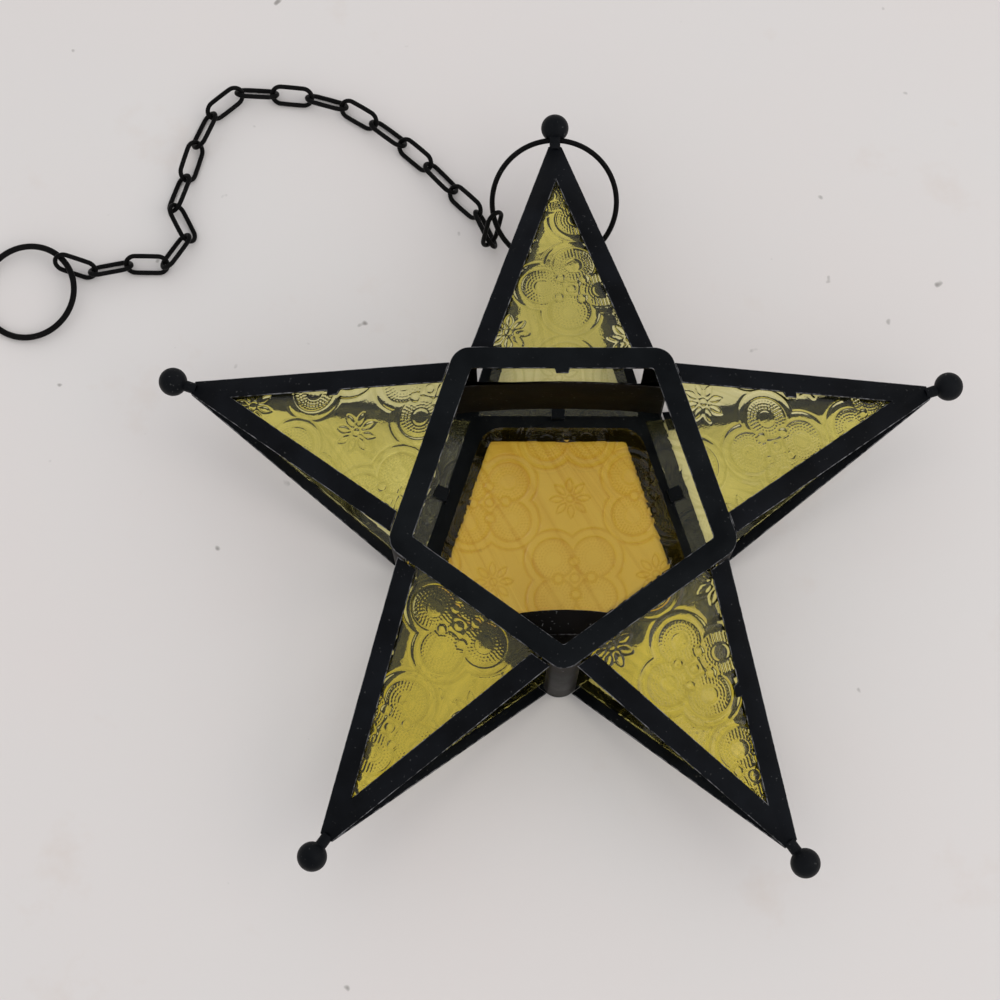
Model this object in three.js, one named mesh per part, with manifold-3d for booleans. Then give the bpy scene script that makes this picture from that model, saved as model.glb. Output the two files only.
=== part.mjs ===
// Five-pointed star lantern of sheet metal and pressed glass, lying on its back, with its chain.
// Millimetres, +Z up. The star is drawn about its own middle, with the top point toward +Y, and the
// whole lantern is then shifted so that the origin lies under the top bar of the back ring.

import * as THREE from "three";
import { mergeVertices } from "three/addons/utils/BufferGeometryUtils.js";
import Module from "manifold-3d";

const wasm = await Module();
wasm.setup();

// Shared sizes.
const CLEARANCE = 0.3;
const SHEET = 0.8;
const POINTS = 5;
const SIDE_ANGLE = (2 * Math.PI) / POINTS;
const HALF_SIDE_ANGLE = SIDE_ANGLE / 2;

// The drum: two flat rings held apart by a bent post at each corner.
const DRUM_DEPTH = 60;
const DRUM_APOTHEM = 48;
const DRUM_CORNER_RADIUS = 6.7;
const FRONT_RING_WIDTH = 7.2;
const FRONT_RING_INNER_RADIUS = 1.2;
const FRONT_TAB = { width: 5, reach: 1.6 };
const BACK_RING_WIDTH = 15;
const BACK_RING_INNER_RADIUS = 1.2;
const POST_STRAIGHT = 2;

// The five hollow points.
const TIP_REACH = 131.7;
const BASE_HALF_WIDTH = (DRUM_APOTHEM - DRUM_CORNER_RADIUS) * Math.tan(HALF_SIDE_ANGLE);
const TIP_HALF_WIDTH = 2.3;
const STRAP_WIDTH = 6.8;
const FRAME_STEP = 1.9;
const FRAME_RISE = DRUM_DEPTH - FRAME_STEP;
const STRAP_TAB = { width: 4.5, reach: 1.8, along: 0.42 };
const POINT_LAYOUT = [
  { name: "top", angle: 90, lean: -1.4, tab: 0 },
  { name: "left", angle: 162, lean: 2.5, tab: 1 },
  { name: "lower_left", angle: 234, lean: -2.2, tab: 0 },
  { name: "lower_right", angle: 306, lean: 4.9, tab: -1 },
  { name: "right", angle: 18, lean: -1.4, tab: -1 },
];
const POST_LAYOUT = [
  { name: "upper_left", angle: 126 },
  { name: "lower_left", angle: 198 },
  { name: "bottom", angle: 270 },
  { name: "lower_right", angle: 342 },
  { name: "upper_right", angle: 54 },
];

// Glass.
const GLASS = 2.5;
const PANE_EDGE_INSET = 3.4;
const PANE_TIP_GAP = 12.2;
const FRONT_PANE_LAP = 1.6;
const BACK_PANE_LAP = 5.3;
const AMBER_MARGIN = 5.3;
const PANE_REACH = TIP_REACH - PANE_TIP_GAP;
const FRONT_PANE_START = DRUM_APOTHEM - FRONT_PANE_LAP;
const BACK_PANE_START = DRUM_APOTHEM - BACK_PANE_LAP;
const AMBER_APOTHEM = BACK_PANE_START - AMBER_MARGIN;
const AMBER_CORNER_RADIUS = 9;
const AMBER_SHIFT = 1.3;
const CLIP = { width: 4.6, wall: 0.7, hook: 3.6 };

// Balls on the tips, and the eye that carries the hanging ring.
const BALL_STANDOFF = 7.6;
const BALL_REACH = TIP_REACH + BALL_STANDOFF;
const BALL_RADIUS = 4.85;
const NECK_RADIUS = 1.9;
const EYE_STANDOFF = 3;
const EYE_REACH = TIP_REACH + EYE_STANDOFF;
const EYE_RADIUS = 2.3;
const EYE_WIDTH = 3.6;
const HANG_WIRE = 1.9;
const HANG_RADIUS = 22.05;
const HANG_TILT = 33;

// Tealight dish, its bracket and the heat shield.
const DISH_RADIUS = 22;
const DISH_STANDOFF = 2;
const DISH_FLOOR = DISH_STANDOFF - DRUM_APOTHEM;
const DISH_HEIGHT = 8.5;
const DISH_SHIFT = 1.2;
const DISH_BEND = 1.5;
const BRACKET_WIDTH = 6;
const BRACKET_FLANGE = 12;
const BRACKET_DEPTH = 14;
const SHIELD_END_GAP = 15.2;
const SHIELD_LOW = SHIELD_END_GAP;
const SHIELD_HIGH = DRUM_DEPTH - SHIELD_END_GAP;
const SHIELD_THICKNESS = 0.6;
const SHIELD_STANDOFF = 7;
const SHIELD_MIDDLE = DRUM_APOTHEM - SHIELD_STANDOFF;
const SHIELD_BOW = 1.8;

// Chain. Headings are read from the photograph, in degrees from +X, from the hanging ring outward.
const LINK_LENGTH = 16.8;
const LINK_WIDTH = 8.2;
const LINK_WIRE = 1.7;
const LINK_ROLL = 45;
const SECOND_LINK_ROLL = 65;
const LAST_LINK_ROLL = -50;
const FIRST_LINK_SEAT = 106;
const FIRST_LINK_HEADING = 246;
const FIRST_LINK_DIP = 60;
const HEADINGS = [115, 135, 134, 138, 143, 148, 165, 173, 178, 219, 248, 254, 252, 298, 237, 180, 193, 165];
const END_RING_RADIUS = 16.9;
const END_RING_WIRE = 2.2;
const END_RING_HEADING = 218;
const HOOK_LEAST = 0.3;
const TABLE_GAP = 0.05;

const FRONT_RING_BACK = DRUM_DEPTH - SHEET;
const MIDDLE = DRUM_DEPTH / 2;
const FRAME_REACH = DRUM_APOTHEM + CLEARANCE;
const LINK_HALF = (LINK_LENGTH - LINK_WIRE) / 2;
const LINK_SIDE = (LINK_WIDTH - LINK_WIRE) / 2;
const BACK_REST_REACH = DRUM_APOTHEM - BACK_RING_WIDTH / 2;

const radians = THREE.MathUtils.degToRad;

// The slope of each point's faces, from the drum's edge down to the middle of the tip.
const faceRun = TIP_REACH - FRAME_REACH;
const faceDrop = FRAME_RISE - MIDDLE - CLEARANCE / 2;
const strapLength = Math.sqrt(faceRun ** 2 + faceDrop ** 2 - SHEET ** 2);
const slope = Math.atan2(faceDrop, faceRun) - Math.atan2(SHEET, strapLength);

function metal(color, roughness) {
  return new THREE.MeshStandardMaterial({ color, roughness, metalness: 0.85 });
}

function glass(color) {
  return new THREE.MeshStandardMaterial({
    color,
    roughness: 0.25,
    metalness: 0,
    transparent: true,
    opacity: 0.8,
  });
}

function part(name, geometry, material) {
  const mesh = new THREE.Mesh(geometry, material);
  mesh.name = name;
  return mesh;
}

function toManifold(geometry) {
  const plain = geometry.clone();
  plain.deleteAttribute("normal");
  plain.deleteAttribute("uv");
  const merged = mergeVertices(plain, 1e-4);
  const solid = new wasm.Mesh({
    numProp: 3,
    vertProperties: new Float32Array(merged.attributes.position.array),
    triVerts: new Uint32Array(merged.index.array),
  });
  return new wasm.Manifold(solid);
}

function fromManifold(solid) {
  const mesh = solid.getMesh();
  const geometry = new THREE.BufferGeometry();
  geometry.setAttribute("position", new THREE.BufferAttribute(new Float32Array(mesh.vertProperties), 3));
  geometry.setIndex(new THREE.BufferAttribute(new Uint32Array(mesh.triVerts), 1));
  const flat = geometry.toNonIndexed();
  flat.computeVertexNormals();
  return flat;
}

function extrude(shape, depth, curveSegments = 6) {
  return new THREE.ExtrudeGeometry(shape, { depth, bevelEnabled: false, curveSegments });
}

// A regular pentagon with one side square to +Y. A tab, where given, stands inward on that side.
function tracePentagon(path, apothem, cornerRadius, tab) {
  const corner = (apothem - cornerRadius) / Math.cos(HALF_SIDE_ANGLE);
  for (let i = 0; i < POINTS; i += 1) {
    const angle = radians(54) + i * SIDE_ANGLE;
    const x = corner * Math.cos(angle);
    const y = corner * Math.sin(angle);
    path.absarc(x, y, cornerRadius, angle - HALF_SIDE_ANGLE, angle + HALF_SIDE_ANGLE, false);
    if (i === 0 && tab) {
      path.lineTo(tab.width / 2, apothem);
      path.lineTo(tab.width / 2 - 0.5, apothem - tab.reach);
      path.lineTo(-tab.width / 2 + 0.5, apothem - tab.reach);
      path.lineTo(-tab.width / 2, apothem);
    }
  }
  path.closePath();
  return path;
}

function ringPlate(innerApothem, innerRadius, tab) {
  const shape = tracePentagon(new THREE.Shape(), DRUM_APOTHEM, DRUM_CORNER_RADIUS);
  shape.holes.push(tracePentagon(new THREE.Path(), innerApothem, innerRadius, tab));
  return extrude(shape, SHEET);
}

// A strip bent round a corner of the drum: an arc about the corner's own middle, with straight ends.
function cornerStrip(outerRadius, thickness, straight) {
  const inner = outerRadius - thickness;
  const shape = new THREE.Shape();
  const start = -HALF_SIDE_ANGLE;
  const end = HALF_SIDE_ANGLE;
  const back = new THREE.Vector2(Math.sin(start), -Math.cos(start)).multiplyScalar(straight);
  const on = new THREE.Vector2(-Math.sin(end), Math.cos(end)).multiplyScalar(straight);
  shape.moveTo(outerRadius * Math.cos(start) + back.x, outerRadius * Math.sin(start) + back.y);
  shape.absarc(0, 0, outerRadius, start, end, false);
  shape.lineTo(outerRadius * Math.cos(end) + on.x, outerRadius * Math.sin(end) + on.y);
  shape.lineTo(inner * Math.cos(end) + on.x, inner * Math.sin(end) + on.y);
  shape.absarc(0, 0, inner, end, start, true);
  shape.lineTo(inner * Math.cos(start) + back.x, inner * Math.sin(start) + back.y);
  shape.closePath();
  return shape;
}

// Half the width of a point, to the outer edge of its straps, at a distance along its sloping face.
function halfWidth(along) {
  return BASE_HALF_WIDTH + ((TIP_HALF_WIDTH - BASE_HALF_WIDTH) * along) / strapLength;
}

const strapSlant = Math.atan2(BASE_HALF_WIDTH - TIP_HALF_WIDTH, strapLength);

// The V of two straps, drawn flat with its base on the X axis and its tip toward +Y.
function strapShape(lean, tab) {
  const start = SHEET * Math.tan(slope);
  const inset = STRAP_WIDTH / Math.cos(strapSlant);
  const apex = strapLength * ((BASE_HALF_WIDTH - inset) / (BASE_HALF_WIDTH - TIP_HALF_WIDTH));
  const drift = (along) => (lean * along) / strapLength;
  const edge = (side, along, inward) => [
    drift(along) + side * (halfWidth(along) - inward),
    along,
  ];
  const outline = [
    edge(-1, start, inset),
    edge(-1, start, 0),
    edge(-1, strapLength, 0),
    edge(1, strapLength, 0),
    edge(1, start, 0),
    edge(1, start, inset),
  ];
  const low = STRAP_TAB.along * strapLength - STRAP_TAB.width / 2;
  const high = low + STRAP_TAB.width;
  const tabPoints = (side) => [
    edge(side, low, inset),
    edge(side, low + 0.5, inset + STRAP_TAB.reach),
    edge(side, high - 0.5, inset + STRAP_TAB.reach),
    edge(side, high, inset),
  ];
  if (tab > 0) {
    outline.push(...tabPoints(1));
  }
  outline.push([drift(apex), apex]);
  if (tab < 0) {
    outline.push(...tabPoints(-1).reverse());
  }
  return new THREE.Shape(outline.map(([x, y]) => new THREE.Vector2(x, y)));
}

// A pane for the same face. It starts at a given distance from the middle of the star.
function paneShape(lean, startReach) {
  const inset = PANE_EDGE_INSET / Math.cos(strapSlant);
  const along = (reach) => (reach - FRAME_REACH) / Math.cos(slope);
  const drift = (y) => (lean * y) / strapLength;
  const low = along(startReach);
  const high = along(PANE_REACH);
  return new THREE.Shape([
    new THREE.Vector2(drift(low) - halfWidth(low) + inset, low),
    new THREE.Vector2(drift(low) + halfWidth(low) - inset, low),
    new THREE.Vector2(drift(high) + halfWidth(high) - inset, high),
    new THREE.Vector2(drift(high) - halfWidth(high) + inset, high),
  ]);
}

// A flat sheet of a face: depth counts inward from the outer surface of the straps.
function faceMesh(name, shape, thickness, depth, front, material) {
  const mesh = part(name, extrude(shape, thickness), material);
  if (front) {
    mesh.position.set(0, FRAME_REACH, FRAME_RISE);
    mesh.rotation.x = -slope;
    mesh.translateZ(-depth - thickness);
  } else {
    mesh.position.set(0, FRAME_REACH, FRAME_STEP);
    mesh.rotation.x = slope;
    mesh.translateZ(depth);
  }
  return mesh;
}

// A hook that stands on the back ring and reaches over the inner edge of a back pane.
function paneClip() {
  const glassTop = (reach) => {
    const rise = (SHEET + CLEARANCE + GLASS) / Math.cos(slope);
    return FRAME_STEP + (reach - FRAME_REACH) * Math.tan(slope) + rise;
  };
  const edge = BACK_PANE_START - (SHEET + CLEARANCE + GLASS) * Math.sin(slope) - CLEARANCE;
  const lift = CLEARANCE / Math.cos(slope);
  const end = edge + CLIP.hook;
  const shape = new THREE.Shape([
    new THREE.Vector2(edge - CLIP.wall, SHEET / 2),
    new THREE.Vector2(edge, SHEET / 2),
    new THREE.Vector2(edge, glassTop(edge) + lift),
    new THREE.Vector2(end, glassTop(end) + lift),
    new THREE.Vector2(end, glassTop(end) + lift + CLIP.wall),
    new THREE.Vector2(edge - CLIP.wall, glassTop(edge) + lift + CLIP.wall / 2),
  ]);
  const geometry = extrude(shape, CLIP.width);
  geometry.translate(0, 0, -CLIP.width / 2);
  geometry.rotateX(Math.PI / 2);
  geometry.rotateZ(Math.PI / 2);
  return geometry;
}

function ballProfile(stemStart) {
  const points = [new THREE.Vector2(0, stemStart), new THREE.Vector2(NECK_RADIUS, stemStart)];
  const join = Math.asin(NECK_RADIUS / BALL_RADIUS);
  const steps = 9;
  for (let i = 0; i <= steps; i += 1) {
    const angle = join + ((Math.PI - join) * i) / steps;
    const x = i === steps ? 0 : BALL_RADIUS * Math.sin(angle);
    points.push(new THREE.Vector2(x, BALL_REACH - BALL_RADIUS * Math.cos(angle)));
  }
  return points;
}

function ballGeometry(withEye) {
  const tipFace = TIP_REACH + SHEET * Math.sin(slope);
  const ball = new THREE.LatheGeometry(ballProfile(tipFace + CLEARANCE), 14);
  if (!withEye) {
    return ball;
  }
  const eye = new THREE.CylinderGeometry(EYE_RADIUS, EYE_RADIUS, EYE_WIDTH, 24);
  eye.rotateZ(Math.PI / 2);
  eye.translate(0, EYE_REACH, 0);
  const bore = new THREE.CylinderGeometry(
    HANG_WIRE / 2 + CLEARANCE,
    HANG_WIRE / 2 + CLEARANCE,
    4 * BALL_RADIUS,
    20,
  );
  bore.rotateZ(Math.PI / 2);
  bore.translate(0, EYE_REACH, 0);
  return fromManifold(toManifold(ball).add(toManifold(eye)).subtract(toManifold(bore)));
}

// Round wire bent into a closed flat loop: straight sides along X and round ends.
function linkGeometry(sides = 8, endSteps = 7) {
  const straight = LINK_HALF - LINK_SIDE;
  const stations = [];
  for (const end of [0, 1]) {
    for (let i = 0; i <= endSteps; i += 1) {
      const angle = -Math.PI / 2 + end * Math.PI + (Math.PI * i) / endSteps;
      const outward = new THREE.Vector3(Math.cos(angle), Math.sin(angle), 0);
      const centre = outward.clone().multiplyScalar(LINK_SIDE);
      centre.x += end === 0 ? straight : -straight;
      stations.push({ centre, outward });
    }
  }
  const positions = [];
  for (const { centre, outward } of stations) {
    for (let s = 0; s < sides; s += 1) {
      const turn = (2 * Math.PI * s) / sides;
      const point = centre.clone().addScaledVector(outward, (LINK_WIRE / 2) * Math.cos(turn));
      point.z += (LINK_WIRE / 2) * Math.sin(turn);
      positions.push(point.x, point.y, point.z);
    }
  }
  const index = [];
  const count = stations.length;
  for (let i = 0; i < count; i += 1) {
    const next = (i + 1) % count;
    for (let s = 0; s < sides; s += 1) {
      const after = (s + 1) % sides;
      const a = i * sides + s;
      const b = next * sides + s;
      const c = next * sides + after;
      const d = i * sides + after;
      index.push(a, b, c, a, c, d);
    }
  }
  const geometry = new THREE.BufferGeometry();
  geometry.setAttribute("position", new THREE.Float32BufferAttribute(positions, 3));
  geometry.setIndex(index);
  geometry.computeVertexNormals();
  return geometry;
}

// Puts a piece at a place, with its X along one direction and its Y across it.
function place(mesh, centre, along, across) {
  const square = along.clone().cross(across);
  const basis = new THREE.Matrix4().makeBasis(along, across, square);
  mesh.quaternion.setFromRotationMatrix(basis);
  mesh.position.copy(centre);
}

function dishGeometry() {
  const wall = SHEET;
  const bend = DISH_BEND;
  const points = [
    new THREE.Vector2(0, 0),
    new THREE.Vector2(DISH_RADIUS - bend, 0),
    new THREE.Vector2(DISH_RADIUS - bend * 0.3, bend * 0.3),
    new THREE.Vector2(DISH_RADIUS, bend),
    new THREE.Vector2(DISH_RADIUS, DISH_HEIGHT),
    new THREE.Vector2(DISH_RADIUS - wall, DISH_HEIGHT),
    new THREE.Vector2(DISH_RADIUS - wall, bend),
    new THREE.Vector2(DISH_RADIUS - bend, wall),
    new THREE.Vector2(0, wall),
  ];
  return new THREE.LatheGeometry(points, 36);
}

// A web between the dish's floor and the bottom post, with a foot that follows the post's bend.
function bracketGeometry() {
  const corner = (DRUM_APOTHEM - DRUM_CORNER_RADIUS) / Math.cos(HALF_SIDE_ANGLE);
  const footOuter = DRUM_CORNER_RADIUS - SHEET - CLEARANCE;
  const footInner = footOuter - SHEET;
  const spread = Math.asin(BRACKET_WIDTH / 2 / footOuter);
  const down = -Math.PI / 2;
  const top = DISH_FLOOR - CLEARANCE;
  const web = SHEET / 2;
  const webFoot = -corner - Math.sqrt(footInner ** 2 - web ** 2);
  const shape = new THREE.Shape();
  shape.moveTo(-BRACKET_FLANGE / 2, top);
  shape.lineTo(-BRACKET_FLANGE / 2, top - SHEET);
  shape.lineTo(-web, top - SHEET);
  shape.lineTo(-web, webFoot);
  shape.absarc(0, -corner, footInner, down - Math.asin(web / footInner), down - spread, true);
  shape.absarc(0, -corner, footOuter, down - spread, down + spread, false);
  shape.absarc(0, -corner, footInner, down + spread, down + Math.asin(web / footInner), true);
  shape.lineTo(web, top - SHEET);
  shape.lineTo(BRACKET_FLANGE / 2, top - SHEET);
  shape.lineTo(BRACKET_FLANGE / 2, top);
  shape.closePath();
  return extrude(shape, BRACKET_DEPTH);
}

// The shield is a bowed strip whose ends turn to lie along the inside of the two upper posts.
function shieldGeometry() {
  const corner = (DRUM_APOTHEM - DRUM_CORNER_RADIUS) / Math.cos(HALF_SIDE_ANGLE);
  const lean = radians(18);
  const reach = DRUM_CORNER_RADIUS - SHEET - CLEARANCE - SHIELD_THICKNESS / 2;
  const bend = new THREE.Vector2(
    corner * Math.cos(radians(54)) + reach * Math.cos(lean),
    corner * Math.sin(radians(54)) + reach * Math.sin(lean),
  );
  const inward = new THREE.Vector2(Math.sin(lean), -Math.cos(lean));
  const low = bend.clone().addScaledVector(inward, POST_STRAIGHT);
  const half = [];
  const steps = 5;
  const end = low.x - SHIELD_THICKNESS;
  for (let i = 0; i <= steps; i += 1) {
    const x = (end * i) / steps;
    half.push(new THREE.Vector2(x, SHIELD_MIDDLE - SHIELD_BOW * (i / steps) ** 2));
  }
  half.push(low, bend);
  const line = [...half.slice(1).reverse().map((p) => new THREE.Vector2(-p.x, p.y)), ...half];
  const offset = (sign) =>
    line.map((point, i) => {
      const before = line[Math.max(i - 1, 0)];
      const after = line[Math.min(i + 1, line.length - 1)];
      const along = after.clone().sub(before).normalize();
      const normal = new THREE.Vector2(-along.y, along.x);
      return point.clone().addScaledVector(normal, (sign * SHIELD_THICKNESS) / 2);
    });
  const shape = new THREE.Shape([...offset(-1), ...offset(1).reverse()]);
  return extrude(shape, SHIELD_HIGH - SHIELD_LOW);
}

const darkStrap = () => metal(0x23262b, 0.42);
const darkRing = () => metal(0x292c30, 0.45);
const lantern = new THREE.Group();
lantern.name = "star_lantern";
lantern.position.y = -BACK_REST_REACH;

// Drum.
const drum = new THREE.Group();
lantern.add(drum);

const frontInner = DRUM_APOTHEM - FRONT_RING_WIDTH;
const frontRing = part("front_ring", ringPlate(frontInner, FRONT_RING_INNER_RADIUS, FRONT_TAB), darkRing());
frontRing.position.z = FRONT_RING_BACK;
drum.add(frontRing);

let backPlate = toManifold(ringPlate(DRUM_APOTHEM - BACK_RING_WIDTH, BACK_RING_INNER_RADIUS));
for (const point of POINT_LAYOUT) {
  const clip = paneClip();
  clip.rotateZ(radians(point.angle - 90));
  backPlate = backPlate.add(toManifold(clip));
}
drum.add(part("back_ring", fromManifold(backPlate), darkRing()));

const cornerReach = (DRUM_APOTHEM - DRUM_CORNER_RADIUS) / Math.cos(HALF_SIDE_ANGLE);
for (const corner of POST_LAYOUT) {
  const depth = FRONT_RING_BACK - SHEET - 2 * CLEARANCE;
  const strip = cornerStrip(DRUM_CORNER_RADIUS, SHEET, POST_STRAIGHT);
  const post = part(`post_${corner.name}`, extrude(strip, depth, 8), metal(0x4a4136, 0.55));
  const angle = radians(corner.angle);
  post.position.set(cornerReach * Math.cos(angle), cornerReach * Math.sin(angle), SHEET + CLEARANCE);
  post.rotation.z = angle;
  drum.add(post);
}

// Points: straps and glass, front and back, and a ball on each tip.
for (const point of POINT_LAYOUT) {
  const arm = new THREE.Group();
  arm.rotation.z = radians(point.angle - 90);
  const glassDepth = SHEET + CLEARANCE;
  const yellow = () => glass(0xc4bc5e);
  const frontStraps = strapShape(point.lean, point.tab);
  const backStraps = strapShape(point.lean, 0);
  const frontPane = paneShape(point.lean, FRONT_PANE_START);
  const backPane = paneShape(point.lean, BACK_PANE_START);
  arm.add(faceMesh(`front_frame_${point.name}`, frontStraps, SHEET, 0, true, darkStrap()));
  arm.add(faceMesh(`back_frame_${point.name}`, backStraps, SHEET, 0, false, darkStrap()));
  arm.add(faceMesh(`front_pane_${point.name}`, frontPane, GLASS, glassDepth, true, yellow()));
  arm.add(faceMesh(`back_pane_${point.name}`, backPane, GLASS, glassDepth, false, yellow()));
  const ball = part(`ball_${point.name}`, ballGeometry(point.name === "top"), metal(0x2c2e33, 0.3));
  ball.position.set(point.lean, 0, MIDDLE);
  arm.add(ball);
  lantern.add(arm);
}

const amberShape = tracePentagon(new THREE.Shape(), AMBER_APOTHEM, AMBER_CORNER_RADIUS);
const amber = part("amber_back_pane", extrude(amberShape, GLASS, 8), glass(0xcf9532));
amber.position.set(AMBER_SHIFT, 0, SHEET + CLEARANCE);
lantern.add(amber);

// Tealight dish, on a bracket that stands on the bottom post, and the heat shield under the top point.
const dish = part("candle_dish", dishGeometry(), metal(0x3a3630, 0.5));
dish.position.set(DISH_SHIFT, DISH_FLOOR, MIDDLE);
lantern.add(dish);

const bracket = part("dish_bracket", bracketGeometry(), metal(0x3a3630, 0.5));
bracket.position.z = MIDDLE - BRACKET_DEPTH / 2;
lantern.add(bracket);

const shield = part("heat_shield", shieldGeometry(), metal(0x2a211b, 0.7));
shield.position.z = SHIELD_LOW;
lantern.add(shield);

// The hanging ring passes through the top ball's eye and hangs down behind the top point.
const topPoint = POINT_LAYOUT[0];
const tilt = radians(HANG_TILT);
const eyeCentre = new THREE.Vector3(topPoint.lean, EYE_REACH, MIDDLE);
const fall = new THREE.Vector3(0, -Math.cos(tilt), -Math.sin(tilt));
const ringGeometry = new THREE.TorusGeometry(HANG_RADIUS, HANG_WIRE / 2, 8, 48);
const hangingRing = part("hanging_ring", ringGeometry, metal(0x3a3b3d, 0.35));
hangingRing.position.copy(eyeCentre).addScaledVector(fall, HANG_RADIUS);
hangingRing.rotation.x = tilt;
lantern.add(hangingRing);

// Chain, from the hanging ring out to the end ring.
const chain = new THREE.Group();
lantern.add(chain);
const chainMetal = () => metal(0x3d3a38, 0.4);
const linkShape = linkGeometry();
const linkStraight = LINK_HALF - LINK_SIDE;
const linkLie = LINK_SIDE * Math.sin(radians(LINK_ROLL)) + LINK_WIRE / 2;
const linkCount = HEADINGS.length + 1;

function direction(heading, dip) {
  return new THREE.Vector3(
    Math.cos(dip) * Math.cos(heading),
    Math.cos(dip) * Math.sin(heading),
    -Math.sin(dip),
  );
}

// A link or ring hooked at a point on its parent's wire, with its own near end past that wire.
function addHooked(name, geometry, hook, along, across, reach) {
  const mesh = part(name, geometry, chainMetal());
  const centre = hook.clone().addScaledVector(along, reach);
  place(mesh, centre, along, across);
  chain.add(mesh);
  return { centre, along, across };
}

// The point on a link's far bend where a neighbour that leaves in a given direction pulls on it.
function farHook(link, away) {
  const outward = link.along
    .clone()
    .multiplyScalar(Math.max(away.dot(link.along), HOOK_LEAST))
    .addScaledVector(link.across, away.dot(link.across))
    .normalize();
  return link.centre.clone().addScaledVector(link.along, linkStraight).addScaledVector(outward, LINK_SIDE);
}

// How far inside a link's end a crossing wire lies, when the wire runs in a given direction.
function seatDepth(along, across, wire, gap) {
  const square = wire.clone().cross(across);
  return (gap * square.length()) / Math.abs(along.dot(square));
}

// A link's two directions from its heading, its dip below the level and its roll about itself.
function linkAxes(headingDegrees, dip, rollDegrees) {
  const heading = radians(headingDegrees);
  const roll = radians(rollDegrees);
  const along = direction(heading, dip);
  const level = direction(heading + Math.PI / 2, 0);
  const square = along.clone().cross(level);
  const across = level.multiplyScalar(Math.cos(roll)).addScaledVector(square, Math.sin(roll));
  return { along, across };
}

// Lays a link from its parent's hook. It dips until it touches the table, or until its own far hook
// would be lower than the lying chain.
function layLink(name, parent, heading, roll, nextHeading) {
  const reach = LINK_HALF - LINK_WIRE - CLEARANCE;
  const hook = farHook(parent, direction(radians(heading), 0));
  let axes;
  let low = -0.6;
  let high = 0.6;
  for (let i = 0; i < 30; i += 1) {
    const dip = (low + high) / 2;
    axes = linkAxes(heading, dip, roll);
    const { along, across } = axes;
    const fallOfEnd = linkStraight * Math.abs(along.z);
    const rest = fallOfEnd + LINK_SIDE * Math.hypot(along.z, across.z) + LINK_WIRE / 2;
    const centre = hook.clone().addScaledVector(along, reach);
    const nextHook = farHook({ centre, along, across }, direction(radians(nextHeading), 0));
    if (centre.z > rest + TABLE_GAP && nextHook.z > linkLie) {
      low = dip;
    } else {
      high = dip;
    }
  }
  return addHooked(name, linkShape.clone(), hook, axes.along, axes.across, reach);
}

const seat = radians(FIRST_LINK_SEAT);
const seatPoint = eyeCentre
  .clone()
  .addScaledVector(fall, HANG_RADIUS * (1 - Math.cos(seat)))
  .add(new THREE.Vector3(-HANG_RADIUS * Math.sin(seat), 0, 0));
const seatWire = fall.clone().multiplyScalar(Math.sin(seat)).add(new THREE.Vector3(-Math.cos(seat), 0, 0));
const firstAlong = direction(radians(FIRST_LINK_HEADING), radians(FIRST_LINK_DIP));
const firstAcross = firstAlong.clone().cross(seatWire).normalize();
const firstSeat = seatDepth(firstAlong, firstAcross, seatWire, (HANG_WIRE + LINK_WIRE) / 2 + CLEARANCE);
const firstShape = linkShape.clone();
const firstName = `link_${linkCount}`;
let link = addHooked(firstName, firstShape, seatPoint, firstAlong, firstAcross, LINK_HALF - firstSeat);

HEADINGS.forEach((heading, i) => {
  const last = i === HEADINGS.length - 1;
  let roll = i % 2 === 0 ? LINK_ROLL : -LINK_ROLL;
  if (i === 0) {
    roll = SECOND_LINK_ROLL;
  } else if (last) {
    roll = LAST_LINK_ROLL;
  }
  const next = last ? heading : HEADINGS[i + 1];
  link = layLink(`link_${linkCount - 1 - i}`, link, heading, roll, next);
});

// The end ring's wire runs aslant through the last link. Its far side lies on the table.
const endHeading = radians(END_RING_HEADING);
const endAcross = direction(endHeading + Math.PI / 2, 0);
const endSeat = seatDepth(link.along, link.across, endAcross, (LINK_WIRE + END_RING_WIRE) / 2 + CLEARANCE);
const endHook = link.centre.clone().addScaledVector(link.along, LINK_HALF - endSeat);
const endDip = Math.asin((endHook.z - END_RING_WIRE / 2) / (2 * END_RING_RADIUS));
const endGeometry = new THREE.TorusGeometry(END_RING_RADIUS, END_RING_WIRE / 2, 8, 40);
addHooked("end_ring", endGeometry, endHook, direction(endHeading, endDip), endAcross, END_RING_RADIUS);

export default lantern;
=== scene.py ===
"""A star lantern of sheet metal and pressed glass, lying on its back on a pale table.

Units are metres, unless a note says otherwise. The frame's solids stay where they are, and each
shown piece stands in the place of one of them.
"""

import math

import bmesh
import bpy
import numpy as np
from bpy.props import FloatProperty, FloatVectorProperty, IntProperty, PointerProperty
from mathutils import Matrix, Vector


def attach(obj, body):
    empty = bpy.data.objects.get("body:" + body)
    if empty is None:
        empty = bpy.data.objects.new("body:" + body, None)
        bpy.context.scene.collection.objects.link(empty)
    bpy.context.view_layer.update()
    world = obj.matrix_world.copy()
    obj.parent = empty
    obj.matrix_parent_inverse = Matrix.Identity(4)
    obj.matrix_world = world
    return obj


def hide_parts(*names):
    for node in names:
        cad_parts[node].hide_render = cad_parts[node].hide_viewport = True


bl_info = {
    "name": "Star Lantern",
    "version": (1, 0, 0),
    "blender": (4, 5, 0),
    "location": "View3D > Sidebar > Star Lantern",
    "description": "Builds a pressed-glass star lantern, its chain and a photo table",
    "category": "Object",
}

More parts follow.
